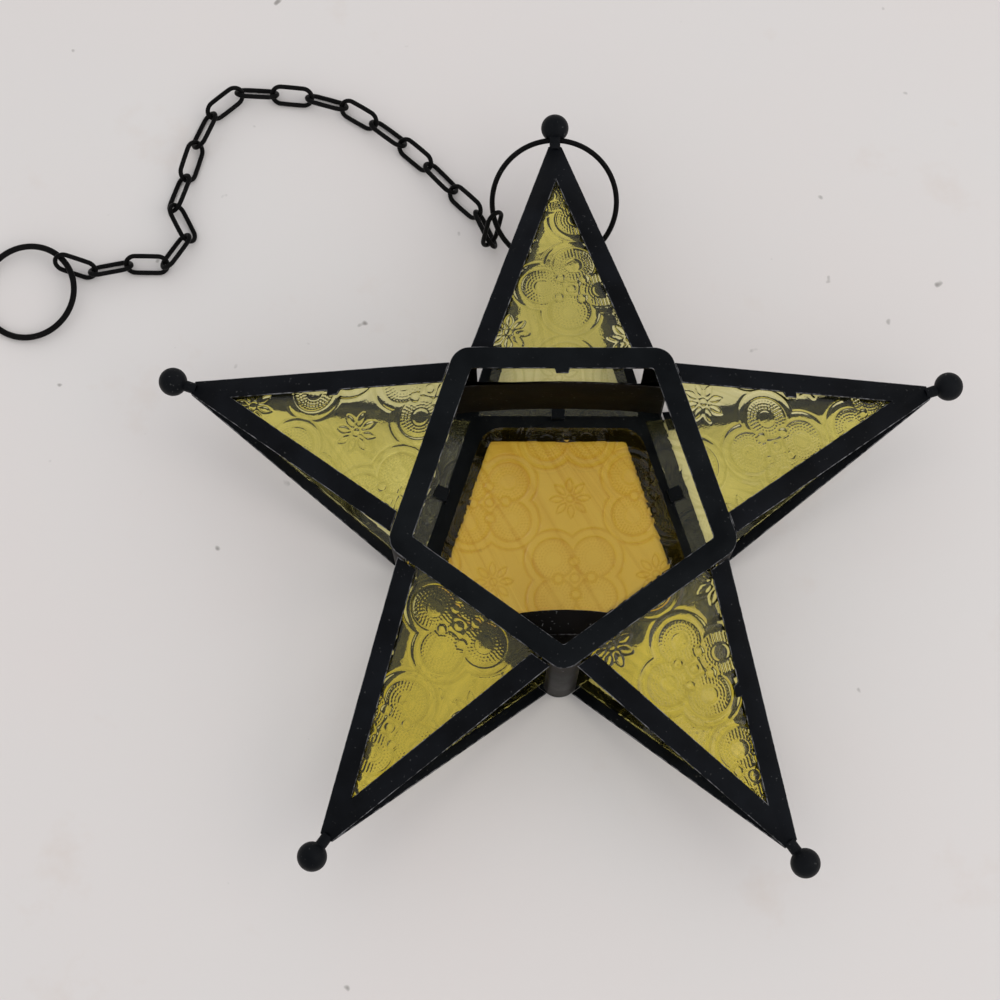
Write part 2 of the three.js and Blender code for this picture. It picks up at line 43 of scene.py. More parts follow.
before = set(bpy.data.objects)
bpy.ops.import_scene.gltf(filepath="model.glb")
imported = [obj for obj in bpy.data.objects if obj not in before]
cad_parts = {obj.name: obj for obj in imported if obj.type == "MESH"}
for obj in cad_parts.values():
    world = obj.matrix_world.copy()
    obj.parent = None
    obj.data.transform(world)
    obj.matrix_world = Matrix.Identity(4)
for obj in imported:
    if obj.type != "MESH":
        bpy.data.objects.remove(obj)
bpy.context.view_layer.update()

MM = 0.001

# The star's five points and the drum's five corners.
POINT_NAMES = ("top", "left", "lower_left", "lower_right", "right")
POINT_ANGLES = (90, 162, 234, 306, 18)  # degrees
POINT_LEANS = (-1.4, 2.5, -2.2, 4.9, -1.4)  # millimetres that each axis is set clockwise
STAR_MIDDLE = (0.0, -0.0405, 0.030)
CORNER_NAMES = ("upper_left", "lower_left", "bottom", "lower_right", "upper_right")

# Sheet metal.
WELD = 1e-6
FLAT_ANGLE = 1.0  # degrees; flatter edges are dissolved
SHARP_ANGLE = 35  # degrees; sharper edges are rounded
FINE_EDGE = 0.00015  # the rounding on the thinnest sheets
METAL_SMOOTH = 38.0  # degrees, as the next two: edges up to this angle are shaded smooth
BALL_SMOOTH = 50
GLASS_SMOOTH = 60

# The balls. Reaches are measured from the star's middle.
NECK_RADIUS = 0.0019
NECK_START = 0.1309
BALL_STEPS = 26
TURNED_STEPS = 40
EYE_REACH = 0.1347
EYE_TUBE = (  # millimetres: radius, and place along the eye's axis
    (1.25, -1.8),
    (2.0, -1.8),
    (2.3, -1.5),
    (2.3, 1.5),
    (2.0, 1.8),
    (1.25, 1.8),
    (1.25, -1.8),
)

# The rings and the chain.
HANGING_RING_WIRE = 0.0019
END_RING_WIRE = 0.0022
RING_STEPS = 120
CHAIN_LINKS = 19
LINK_END_STEPS = 14
LINK_SIDE_STEPS = 4
LINK_TAPER = (0.03, 0.08)  # least and most narrowing of a link at its ends
LINK_WELD = 1e-5

# Where the pressed pattern lies on each pane: a medallion's middle in millimetres, and its turn
# in degrees.
PATTERN = {
    "front_pane_top": (3.6, 32.2, 42.6),
    "front_pane_left": (-43.1, -5.6, 24.6),
    "front_pane_right": (70.4, -22.7, -25.2),
    "front_pane_lower_right": (42.0, -96.5, -15.0),
    "front_pane_lower_left": (-33.0, -84.0, 10.1),
    "back_pane_top": (-9.0, 40.0, 20),
    "back_pane_left": (-60.0, -20.0, 35),
    "back_pane_right": (66.0, -18.0, 10),
    "back_pane_lower_right": (38.0, -85.0, 25),
    "back_pane_lower_left": (-45.0, -95.0, 50),
    "amber_back_pane": (5.6, -57.2, 3),
}

# The pattern's lines. Each is a radius and a half width in millimetres, and a height in parts of
# the relief. The two outlines are measured from a lobe's edge, the petal's line from the petal's
# edge, and the others from the middle of their figure.
OUTLINE = (0, 0.5, 1.0)
SECOND_OUTLINE = (3.1, 0.55, 0.85)
DISC = (3.0, 0.4, 0.45)
SCROLL = (1.7, 0.42, 0.9)
KNOB = (1.6, 0.42, 0.9)
PETAL = (0, 0.36, 0.95)
FLOWER_HEART = (1.3, 0.4, 0.9)
PATTERN_TOP = 1.3  # where lines cross they rise to this at most

# The pattern's places. Those of a lobe are parts of the pitch, the others are millimetres.
LOBE_PLACE = 0.248
LOBE_RADIUS = 0.252
BEAD_ROWS = (4.05, 5.1, 6.15)
BEAD_PITCH = 1.15
BEAD_HALF = 0.34
BEAD_HEIGHT = 0.95
SCROLL_PLACE = 5.7
SCROLL_CLEAR = 1.2  # other lines stop this far from a scroll's middle
KNOB_CLEAR = 1.3
PETALS = 8
PETAL_START = 2.0
PETAL_LENGTH = 5.2
PETAL_HALF = 1.1
PETAL_LINES = (1.8, 7.5)  # a petal's lines begin and end here
LINE_END = 0.4  # the length over which a line rises or ends

# The pressed panes' meshes.
FEWEST_STEPS = 4
CUT_NEAR = 1e-7
CUT_WELD = 2e-6

# Noise that marks part of a surface: its scale, detail and roughness, and the values where the
# mark begins and where it is full.
LACQUER_CLOUD = dict(scale=55, detail=5, roughness=0.55, low=0.35, high=0.7)
WORN_PATCH = dict(scale=330, detail=6, roughness=0.7, low=0.44, high=0.62)
DUST_SPECK = dict(scale=900, detail=2, roughness=0.5, low=0.69, high=0.76)
GLASS_MOTTLE = dict(scale=24, detail=3, roughness=0.55, low=0.3, high=0.75)
TABLE_CLOUD = dict(scale=7, detail=4, roughness=0.55, low=0.3, high=0.7)
TABLE_STAIN = dict(scale=16, detail=5, roughness=0.65, low=0.60, high=0.76)
TABLE_SPECK = dict(scale=120, detail=2, roughness=0.4, low=0.75, high=0.8)

# Noise that makes a surface uneven.
LACQUER_GRAIN = dict(scale=420, detail=6, roughness=0.6)
GLASS_PEBBLES = dict(scale=900, detail=2, roughness=0.5)
GLASS_SWELL = dict(scale=160, detail=2, roughness=0.5)
LACQUER_BUMP = 0.0003
GLASS_BUMP = 0.0002

# Finishes.
# Bare metal on worn edges. The same colour paints a highlight along the sheet edges.
BARE_METAL_AND_HIGHLIGHT = (0.30, 0.30, 0.31, 1)
DUST_COLOUR = (0.36, 0.36, 0.35, 1)
CLOUD_ROUGHNESS = 0.18
METALLIC = 0.2
METAL_SPECULAR = 0.09
GLASS_IOR = 1.48
GLASS_ROUGHNESS = 0.03
GLASS_RIPPLE = 0.2
# The ridge colour is painted shade for the dark lines that refraction draws along the ridges, and
# also the thick glass's deeper tint.
RIDGE_SHADE_RANGE = (0.15, 0.75)  # heights where the ridge colour begins and is full
RIDGE_SHADE_STRENGTH = 0.85
STAIN_STRENGTH = 0.5
TABLE_SPECK_COLOUR = (0.33, 0.31, 0.29, 1)
TABLE_ROUGHNESS = 0.55
TABLE_SPECULAR = 0.2

# The stage. The room is dimmer where metal and glass mirror it.
TABLE_HALF = 6.0
ROOM_COLOUR = (0.97, 0.975, 1.0, 1)
ROOM_LIGHT = 0.95
MIRRORED_ROOM = 0.55
LAMP_SIZE = (1.4, 1.2)
LAMP_WATTS = 5
LAMP_COLOUR = (1.0, 0.955, 0.92)
LAMP_PLACE = (1.3, -0.3, 1.1)
LAMP_FACES_FROM = (1.3, -0.25, 1.1)  # the direction from which its light comes
CAMERA_PLACE = (-0.01781, -0.20332, 0.67911)
CAMERA_TURN = (14.429, 0.165, 0.195)  # degrees
CAMERA_SENSOR = 36.0  # millimetres
CAMERA_LENS = 72.0  # millimetres
CAMERA_REACH = (0.01, 50.0)


class StarLanternSettings(bpy.types.PropertyGroup):
    """Sizes and finishes of the shown lantern."""

    sheet_edge: FloatProperty(
        name="Sheet edge",
        description="Width of the rounded edge on sheet metal",
        default=0.00022,
        min=0.00005,
        max=0.0004,
        unit="LENGTH",
    )
    pattern_pitch: FloatProperty(
        name="Pattern pitch",
        description="Distance from a medallion to the next flower in the glass",
        default=0.0282,
        min=0.015,
        max=0.05,
        unit="LENGTH",
    )
    relief: FloatProperty(
        name="Relief",
        description="Height of the pressed pattern's ridges",
        default=0.0004,
        min=0.0,
        max=0.001,
        unit="LENGTH",
    )
    relief_step: FloatProperty(
        name="Relief step",
        description="Grid step of the pressed glass surface",
        default=0.00037,
        min=0.0003,
        max=0.003,
        unit="LENGTH",
    )
    ball_radius: FloatProperty(
        name="Ball radius",
        description="Radius of the ball on each tip",
        default=0.00485,
        unit="LENGTH",
    )
    ball_reach: FloatProperty(
        name="Ball reach",
        description="Distance from the star's middle to the middle of each ball",
        default=0.1393,
        unit="LENGTH",
    )
    wire_sides: IntProperty(
        name="Wire sides",
        description="Sides round each wire",
        default=18,
        min=8,
        max=48,
    )
    yellow_tint: FloatVectorProperty(
        name="Yellow tint",
        description="Colour of the yellow panes' glass",
        subtype="COLOR",
        default=(1.0, 0.955, 0.48),
        min=0.0,
        max=1.0,
    )
    amber_tint: FloatVectorProperty(
        name="Amber tint",
        description="Colour of the amber pane's glass",
        subtype="COLOR",
        default=(1.0, 0.735, 0.13),
        min=0.0,
        max=1.0,
    )
    lacquer: FloatVectorProperty(
        name="Lacquer",
        description="Colour of the lacquer on the straps, the rings and the balls",
        subtype="COLOR",
        default=(0.0030, 0.0036, 0.0048),
        min=0.0,
        max=1.0,
    )
    table_colour: FloatVectorProperty(
        name="Table",
        description="Colour of the table",
        subtype="COLOR",
        default=(0.70, 0.655, 0.63),
        min=0.0,
        max=1.0,
    )


def settings():
    """The lantern's settings in this scene."""
    return bpy.context.scene.star_lantern


# Meshes.


def add_object(name, data):
    """A new object at the origin, in the scene."""
    obj = bpy.data.objects.new(name, data)
    bpy.context.scene.collection.objects.link(obj)
    return obj


def finish_mesh(name, bm, material, body, nodes, smooth_angle=METAL_SMOOTH):
    """Turns a bmesh into an object that stands for the given frame nodes."""
    bmesh.ops.recalc_face_normals(bm, faces=bm.faces)
    for face in bm.faces:
        face.smooth = True
    mesh = bpy.data.meshes.new(name)
    bm.to_mesh(mesh)
    bm.free()
    mesh.set_sharp_from_angle(angle=math.radians(smooth_angle))
    mesh.materials.append(material)
    obj = add_object(name, mesh)
    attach(obj, body)
    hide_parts(*nodes)
    return obj


def edged_copy(node, material, width=None, segments=2):
    """A frame solid with its sheet edges rounded. The rounded faces are marked for edge wear, which
    also paints a highlight along the sheet edges.
    """
    width = settings().sheet_edge if width is None else width
    bm = bmesh.new()
    bm.from_mesh(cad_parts[node].data)
    bmesh.ops.remove_doubles(bm, verts=bm.verts, dist=WELD)
    bmesh.ops.dissolve_limit(
        bm, angle_limit=math.radians(FLAT_ANGLE), verts=bm.verts, edges=bm.edges
    )
    bmesh.ops.recalc_face_normals(bm, faces=bm.faces)
    layer = bm.faces.layers.float.new("edge")
    limit = math.radians(SHARP_ANGLE)
    sharp = [e for e in bm.edges if e.is_manifold and e.calc_face_angle(0.0) > limit]
    rounded = bmesh.ops.bevel(
        bm,
        geom=sharp,
        offset=width,
        offset_type="OFFSET",
        segments=segments,
        profile=0.5,
        affect="EDGES",
        clamp_overlap=True,
        material=-1,
    )
    for face in rounded["faces"]:
        face[layer] = 1.0
    return finish_mesh(f"{node}_shown", bm, material, "lantern", [node])


def node_points(node):
    """All vertices of a frame node, to the micrometre, as an array."""
    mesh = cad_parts[node].data
    points = np.empty(len(mesh.vertices) * 3, dtype=np.float32)
    mesh.vertices.foreach_get("co", points)
    return np.unique(points.reshape(-1, 3).round(6), axis=0).astype(float)


def principal_axes(points):
    """Middle of a set of points and its three directions, longest spread first."""
    middle = points.mean(axis=0)
    _, _, rows = np.linalg.svd(points - middle, full_matrices=False)
    along, across = Vector(rows[0]), Vector(rows[1])
    return Vector(middle), along, across, along.cross(across)


def placed(middle, x, y, z):
    """The matrix that puts a shape's own axes along three given directions."""
    return Matrix.Translation(middle) @ Matrix((x, y, z)).transposed().to_4x4()


def full_turn(bm, geom, middle, axis, steps):
    """Spins a profile once round an axis."""
    bmesh.ops.spin(
        bm,
        geom=geom,
        cent=middle,
        axis=axis,
        dvec=(0, 0, 0),
        angle=2 * math.pi,
        steps=steps,
        use_merge=True,
    )


def wire_circle(node, wire, material):
    """A round ring of wire in place of a frame node."""
    points = node_points(node)
    middle, along, across, square = principal_axes(points)
    reach = np.linalg.norm(points - np.array(middle), axis=1)
    radius = float(reach.max() + reach.min()) / 2
    bm = bmesh.new()
    bmesh.ops.create_circle(
        bm,
        segments=settings().wire_sides,
        radius=wire / 2,
        matrix=placed(middle + along * radius, along, square, -across),
    )
    full_turn(bm, bm.verts[:] + bm.edges[:], middle, square, RING_STEPS)
    return finish_mesh(f"{node}_shown", bm, material, node, [node])


def only(geom, kind):
    """The items of one kind in an operator's result."""
    return [item for item in geom if isinstance(item, kind)]


def wire_link(node, material, seed):
    """One oval chain link, its ends a little narrower, in place of a frame node."""
    points = node_points(node)
    middle, along, across, square = principal_axes(points)
    offsets = points - np.array(middle)
    wire = float(np.ptp(offsets @ np.array(square)))
    half = float(np.ptp(offsets @ np.array(along))) / 2 - wire / 2
    side = float(np.ptp(offsets @ np.array(across))) / 2 - wire / 2
    straight = half - side
    bm = bmesh.new()
    bmesh.ops.create_circle(
        bm,
        segments=settings().wire_sides,
        radius=wire / 2,
        matrix=placed(middle + along * straight - across * side, across, square, along),
    )
    last = bm.verts[:] + bm.edges[:]
    for end in (1, -1):
        turned = bmesh.ops.spin(
            bm,
            geom=last,
            cent=middle + along * (end * straight),
            axis=square,
            dvec=(0, 0, 0),
            angle=math.pi,
            steps=LINK_END_STEPS,
            use_merge=False,
        )
        last = turned["geom_last"]
        step = along * (-end * 2 * straight / LINK_SIDE_STEPS)
        for _ in range(LINK_SIDE_STEPS):
            drawn = bmesh.ops.extrude_edge_only(bm, edges=only(last, bmesh.types.BMEdge))
            ends = only(drawn["geom"], bmesh.types.BMVert)
            bmesh.ops.translate(bm, verts=ends, vec=step)
            edges = only(drawn["geom"], bmesh.types.BMEdge)
            last = ends + [e for e in edges if e.verts[0] in ends and e.verts[1] in ends]
    bmesh.ops.remove_doubles(bm, verts=bm.verts, dist=LINK_WELD)
    taper = np.random.default_rng(seed).uniform(*LINK_TAPER)
    for vert in bm.verts:
        run = (vert.co - middle).dot(along) / half
        off = min(max((vert.co - middle).dot(across), -side), side)
        vert.co -= across * (off * taper * run * run)
    return finish_mesh(f"{node}_shown", bm, material, node, [node])


# The pressed pattern: four-lobed medallions with double outlines and rows of beads, in a chequer
# with eight-petalled flowers. It is a common traditional glass pattern.


def line(distance, radius, half_width, height):
    """A raised line at one distance from a point or a curve."""
    return height * np.exp(-(((distance - radius) / half_width) ** 2))


def rise(distance):
    """From 0 to 1 over the length in which a line begins or ends."""
    return np.clip(distance / LINE_END, 0, 1)


def from_nearest(u, v, pitch):
    """The way from the nearest figure's middle, where figures stand as a chequer's dark squares."""
    a = np.round((u + v) / (2 * pitch))
    b = np.round((u - v) / (2 * pitch))
    return u - pitch * (a + b), v - pitch * (a - b)


def medallion(u, v, pitch):
    """Height of a medallion's lines, round its middle."""
    u, v = np.abs(u), np.abs(v)
    lobe = LOBE_PLACE * pitch
    from_lobe = np.hypot(u - lobe, v - lobe)
    round_lobe = np.arctan2(v - lobe, u - lobe)
    from_outline = from_lobe - LOBE_RADIUS * pitch
    height = line(from_outline, *OUTLINE) + line(from_outline, *SECOND_OUTLINE)
    height += line(from_lobe, *DISC)
    for row in BEAD_ROWS:
        beads = 0.5 + 0.5 * np.cos(round_lobe * round(2 * math.pi * row / BEAD_PITCH))
        height += line(from_lobe, row, BEAD_HALF, BEAD_HEIGHT) * beads
    middle = np.hypot(u, v)
    scroll = np.minimum(np.hypot(u - SCROLL_PLACE, v), np.hypot(u, v - SCROLL_PLACE))
    height *= rise(scroll - SCROLL_CLEAR) * rise(middle - KNOB_CLEAR)
    return height + (line(scroll, *SCROLL) + line(middle, *KNOB))


def flower(u, v):
    """Height of a flower's lines, round its middle."""
    reach = np.hypot(u, v)
    share = 2 * math.pi / PETALS
    aside = (np.arctan2(v, u) + share / 2) % share - share / 2
    run = np.clip((reach - PETAL_START) / PETAL_LENGTH, 0, 1)
    from_petal = np.abs(reach * np.sin(aside)) - PETAL_HALF * np.sin(run * math.pi)
    first, last = PETAL_LINES
    within = rise(reach - first) * rise(last - reach)
    return within * line(from_petal, *PETAL) + line(reach, *FLOWER_HEART)


def pressed_pattern(u, v, pitch):
    """Height of the pattern, from 0 to about 1, at points in millimetres."""
    medallions = medallion(*from_nearest(u, v, pitch), pitch)
    flowers = flower(*from_nearest(u + pitch, v, pitch))
    return np.clip(medallions + flowers, 0, PATTERN_TOP)


def raise_pattern(bm, node, out, thickness):
    """Presses the pattern into a flat mesh, then gives it sides and a flat back.

    The ridges stand at the sheet's face and the ground between them lies lower.
    """
    s = settings()
    points = np.array([v.co[:] for v in bm.verts])
    at_x, at_y, turn = PATTERN[node]
    heading = np.array([math.cos(math.radians(turn)), math.sin(math.radians(turn)), 0.0])
    u_axis = heading - out * (heading @ out)
    u_axis /= np.linalg.norm(u_axis)
    v_axis = np.cross(out, u_axis) * (1 if out[2] > 0 else -1)
    base = points[0]
    origin = np.array([at_x * MM, at_y * MM, 0.0])
    origin[2] = base[2] - ((origin - base)[:2] @ out[:2]) / out[2]
    flat = (points - origin) / MM
    height = pressed_pattern(flat @ u_axis, flat @ v_axis, s.pattern_pitch / MM)
    layer = bm.verts.layers.float.new("pressed")
    for vert, h in zip(bm.verts, height):
        vert[layer] = float(min(h, 1.0))
    pressed = bm.verts[:]
    rim = [e for e in bm.edges if e.is_boundary]
    drawn = bmesh.ops.extrude_edge_only(bm, edges=rim)
    verts = only(drawn["geom"], bmesh.types.BMVert)
    bmesh.ops.translate(bm, verts=verts, vec=Vector(-out * thickness))
    loose = [e for e in bm.edges if e.is_boundary]
    bmesh.ops.holes_fill(bm, edges=loose, sides=0)
    for vert, h in zip(pressed, height):
        vert.co -= Vector(out) * (s.relief * (PATTERN_TOP - h))


def pane_faces(points):
    """The four corners of a pane's two faces, in order round each face."""
    centre = points.mean(axis=0)
    _, _, rows = np.linalg.svd(points - centre, full_matrices=False)
    depth = (points - centre) @ rows[2]
    faces = []
    for sign in (1, -1):
        face = points[depth * sign > 0]
        x = (face - face.mean(axis=0)) @ rows[0]
        y = (face - face.mean(axis=0)) @ rows[1]
        faces.append(face[np.argsort(np.arctan2(y, x))])
    return faces


def pressed_pane(node, material):
    """A four-cornered pane whose outer face carries the pressed pattern."""
    faces = pane_faces(node_points(node))
    faces.sort(key=lambda face: face[:, 2].mean(), reverse=node.startswith("front"))
    outer, inner = faces
    normal = np.cross(outer[1] - outer[0], outer[2] - outer[1])
    normal /= np.linalg.norm(normal)
    step_back = (outer.mean(axis=0) - inner.mean(axis=0)) @ normal
    out = normal * np.sign(step_back)
    wide = max(np.linalg.norm(outer[1] - outer[0]), np.linalg.norm(outer[3] - outer[2]))
    tall = max(np.linalg.norm(outer[2] - outer[1]), np.linalg.norm(outer[0] - outer[3]))
    step = settings().relief_step
    bm = bmesh.new()
    bmesh.ops.create_grid(
        bm,
        x_segments=max(FEWEST_STEPS, round(wide / step)),
        y_segments=max(FEWEST_STEPS, round(tall / step)),
        size=0.5,
    )
    a, b, c, d = (Vector(corner) for corner in outer)
    for vert in bm.verts:
        s, t = vert.co.x + 0.5, vert.co.y + 0.5
        vert.co = a.lerp(b, s).lerp(d.lerp(c, s), t)
    raise_pattern(bm, node, out, abs(step_back))
    return finish_mesh(
        f"{node}_shown", bm, material, "lantern", [node], GLASS_SMOOTH
    )


def amber_pane(material):
    """The back pane behind the dish: a pentagon with round corners, its upper face pressed."""
    node = "amber_back_pane"
    points = node_points(node)
    low, high = points.min(axis=0), points.max(axis=0)
    middle = (low + high) / 2
    face = points[points[:, 2] > middle[2]][:, :2]
    centre = face.mean(axis=0)
    outline = face[np.argsort(np.arctan2(*(face - centre).T[::-1]))]
    half = float(max(high[:2] - low[:2])) / 2
    segments = round(2 * half / settings().relief_step)
    bm = bmesh.new()
    bmesh.ops.create_grid(
        bm,
        x_segments=segments,
        y_segments=segments,
        size=half,
        matrix=Matrix.Translation((middle[0], middle[1], high[2])),
    )
    for start, end in zip(outline, np.roll(outline, -1, axis=0)):
        run = end - start
        bmesh.ops.bisect_plane(
            bm,
            geom=bm.verts[:] + bm.edges[:] + bm.faces[:],
            dist=CUT_NEAR,
            plane_co=(*start, 0),
            plane_no=(run[1], -run[0], 0),
            clear_outer=True,
        )
    bmesh.ops.remove_doubles(bm, verts=bm.verts, dist=CUT_WELD)
    raise_pattern(bm, node, np.array([0.0, 0.0, 1.0]), high[2] - low[2])
    return finish_mesh(
        f"{node}_shown", bm, material, "lantern", [node], GLASS_SMOOTH
    )


def turned_piece(bm, profile, foot, axis, side):
    """Turns a line of (radius, distance along the axis) points into a round shape."""
    verts = [bm.verts.new(foot + axis * along + side * radius) for radius, along in profile]
    edges = [bm.edges.new(pair) for pair in zip(verts, verts[1:])]
    full_turn(bm, verts + edges, foot, axis, TURNED_STEPS)


def tip_ball(name, angle, lean, material):
    """A ball with its neck, and on the top point a lug with an eye for the ring."""
    s = settings()
    node = f"ball_{name}"
    turn = math.radians(angle)
    out = Vector((math.cos(turn), math.sin(turn), 0))
    left = Vector((-out.y, out.x, 0))
    foot = Vector(STAR_MIDDLE) - left * lean * MM
    join = math.asin(NECK_RADIUS / s.ball_radius)
    profile = [(0, NECK_START), (NECK_RADIUS, NECK_START)]
    for i in range(BALL_STEPS + 1):
        a = join + (math.pi - join) * i / BALL_STEPS
        along = s.ball_reach - s.ball_radius * math.cos(a)
        profile.append((s.ball_radius * math.sin(a), along))
    bm = bmesh.new()
    turned_piece(bm, profile, foot, out, left)
    if name == "top":
        tube = [(radius * MM, along * MM) for radius, along in EYE_TUBE]
        turned_piece(bm, tube, foot + out * EYE_REACH, left, out)
    bmesh.ops.remove_doubles(bm, verts=bm.verts, dist=WELD)
    return finish_mesh(
        f"{node}_shown", bm, material, "lantern", [node], BALL_SMOOTH
    )


# Materials.


def new_group(name, inputs, outputs):
    """An empty shader node group with its named inputs and outputs."""
    tree = bpy.data.node_groups.new(name, "ShaderNodeTree")
    for label, kind, value in inputs:
        socket = tree.interface.new_socket(label, in_out="INPUT", socket_type=kind)
        socket.default_value = value
    for label, kind in outputs:
        tree.interface.new_socket(label, in_out="OUTPUT", socket_type=kind)
    entry = tree.nodes.new("NodeGroupInput")
    leave = tree.nodes.new("NodeGroupOutput")
    return tree, entry, leave


def feed(tree, socket, value):
    """Links another node's output to a socket, or sets the socket to a plain value."""
    if isinstance(value, bpy.types.NodeSocket):
        tree.links.new(value, socket)
    else:
        socket.default_value = value


def object_place(tree):
    """The place on the object, for a pattern that stays on it."""
    return tree.nodes.new("ShaderNodeTexCoord").outputs["Object"]


def mesh_mark(tree, name):
    """A mark that the mesh carries, from 0 to 1."""
    node = tree.nodes.new("ShaderNodeAttribute")
    node.attribute_name = name
    return node.outputs["Fac"]


def noise(tree, place, scale, detail, roughness):
    """Plain noise, from 0 to 1."""
    node = tree.nodes.new("ShaderNodeTexNoise")
    node.inputs["Scale"].default_value = scale
    node.inputs["Detail"].default_value = detail
    node.inputs["Roughness"].default_value = roughness
    tree.links.new(place, node.inputs["Vector"])
    return node.outputs["Fac"]


def ramp(tree, value, low, high):
    """From 0 at the low value to 1 at the high one."""
    node = tree.nodes.new("ShaderNodeMapRange")
    node.inputs["From Min"].default_value = low
    node.inputs["From Max"].default_value = high
    node.clamp = True
    tree.links.new(value, node.inputs["Value"])
    return node.outputs["Result"]


def patches(tree, place, scale, detail, roughness, low, high):
    """A mask of soft patches, from 0 to 1."""
    return ramp(tree, noise(tree, place, scale, detail, roughness), low, high)


def mix_colour(tree, factor, a, b):
    """Colour a, and colour b where the factor is 1."""
    node = tree.nodes.new("ShaderNodeMix")
    node.data_type = "RGBA"
    for label, value in (("Factor", factor), ("A", a), ("B", b)):
        feed(tree, node.inputs[label], value)
    return node.outputs["Result"]


def math_node(tree, operation, a, b):
    """The result of one operation on two values."""
    node = tree.nodes.new("ShaderNodeMath")
    node.operation = operation
    for socket, value in zip(node.inputs, (a, b)):
        feed(tree, socket, value)
    return node.outputs[0]


def bump(tree, strength, height, distance):
    """The normal of an uneven surface."""
    node = tree.nodes.new("ShaderNodeBump")
    node.inputs["Distance"].default_value = distance
    tree.links.new(strength, node.inputs["Strength"])
    tree.links.new(height, node.inputs["Height"])
    return node.outputs["Normal"]


def worn_lacquer_and_highlight_group():
    """Lacquer over sheet metal: cloudy, worn bright at the edges, dusty and a little uneven. The
    bright bare metal on the edges is real wear, and also a painted highlight along the sheet edges.
    """
    tree, entry, leave = new_group(
        "Worn Lacquer and Edge Highlight",
        [
            ("Base", "NodeSocketColor", (0.02, 0.022, 0.028, 1)),
            ("Cloud", "NodeSocketColor", (0.035, 0.037, 0.045, 1)),
            ("Bare_and_highlight", "NodeSocketColor", BARE_METAL_AND_HIGHLIGHT),
            ("Wear", "NodeSocketFloat", 0.5),
            ("Dust", "NodeSocketFloat", 0.3),
            ("Roughness", "NodeSocketFloat", 0.42),
            ("Bump", "NodeSocketFloat", 0.25),
        ],
        [
            ("Color", "NodeSocketColor"),
            ("Roughness", "NodeSocketFloat"),
            ("Normal", "NodeSocketVector"),
        ],
    )
    place = object_place(tree)
    cloud = patches(tree, place, **LACQUER_CLOUD)
    colour = mix_colour(tree, cloud, entry.outputs["Base"], entry.outputs["Cloud"])
    patch = patches(tree, place, **WORN_PATCH)
    # Bare metal on the rounded edges, in patches: real wear, and also a painted highlight along the
    # sheet edges.
    edge_wear_and_highlight = math_node(tree, "MULTIPLY", mesh_mark(tree, "edge"), patch)
    edge_wear_and_highlight = math_node(tree, "MULTIPLY", edge_wear_and_highlight, entry.outputs["Wear"])
    colour = mix_colour(tree, edge_wear_and_highlight, colour, entry.outputs["Bare_and_highlight"])
    speck = patches(tree, place, **DUST_SPECK)
    speck = math_node(tree, "MULTIPLY", speck, entry.outputs["Dust"])
    colour = mix_colour(tree, speck, colour, DUST_COLOUR)
    rough = math_node(tree, "MULTIPLY", cloud, CLOUD_ROUGHNESS)
    rough = math_node(tree, "ADD", rough, entry.outputs["Roughness"])
    grain = noise(tree, place, **LACQUER_GRAIN)
    tree.links.new(colour, leave.inputs["Color"])
    tree.links.new(rough, leave.inputs["Roughness"])
    normal = bump(tree, entry.outputs["Bump"], grain, LACQUER_BUMP)
    tree.links.new(normal, leave.inputs["Normal"])
    return tree


def pressed_glass_group():
    """Pressed glass: uneven colour and a pebbled ground. The colour is deeper on the ridges, as the
    thick glass's deeper tint and as painted shade for the dark lines that refraction draws along
    them.
    """
    tree, entry, leave = new_group(
        "Pressed Glass",
        [
            ("Tint", "NodeSocketColor", (0.8, 0.75, 0.3, 1)),
            ("Deep", "NodeSocketColor", (0.6, 0.55, 0.2, 1)),
            ("Ridge shade", "NodeSocketColor", (0.5, 0.45, 0.15, 1)),
            ("Ridge shade strength", "NodeSocketFloat", RIDGE_SHADE_STRENGTH),
            ("Ripple", "NodeSocketFloat", GLASS_RIPPLE),
        ],
        [("Color", "NodeSocketColor"), ("Normal", "NodeSocketVector")],
    )
    place = object_place(tree)
    mottle = patches(tree, place, **GLASS_MOTTLE)
    colour = mix_colour(tree, mottle, entry.outputs["Tint"], entry.outputs["Deep"])
    # Painted shade on the ridges, standing in for the dark refraction lines, and also the thicker
    # glass's deeper tint.
    lines = ramp(tree, mesh_mark(tree, "pressed"), *RIDGE_SHADE_RANGE)
    ridge_shade_amount = math_node(tree, "MULTIPLY", lines, entry.outputs["Ridge shade strength"])
    colour = mix_colour(tree, ridge_shade_amount, colour, entry.outputs["Ridge shade"])
    pebbles = noise(tree, place, **GLASS_PEBBLES)
    swell = noise(tree, place, **GLASS_SWELL)
    uneven = math_node(tree, "ADD", pebbles, swell)
    tree.links.new(colour, leave.inputs["Color"])
    normal = bump(tree, entry.outputs["Ripple"], uneven, GLASS_BUMP)
    tree.links.new(normal, leave.inputs["Normal"])
    return tree


def scaled(colour, *factors):
    """A colour of the settings, brightened or deepened, as the shader takes it."""
    factors = factors * 3 if len(factors) == 1 else factors
    return (*(min(c * f, 1.0) for c, f in zip(colour, factors)), 1)


def bare_material(name):
    """A new material with its node tree and its shader."""
    material = bpy.data.materials.new(name)
    material.use_nodes = True
    tree = material.node_tree
    return material, tree, tree.nodes["Principled BSDF"]


def group_node(tree, name, build, values):
    """A shader node group in a material, built at its first use, with the material's values."""
    node = tree.nodes.new("ShaderNodeGroup")
    node.node_tree = bpy.data.node_groups.get(name) or build()
    for label, value in values.items():
        node.inputs[label].default_value = value
    return node


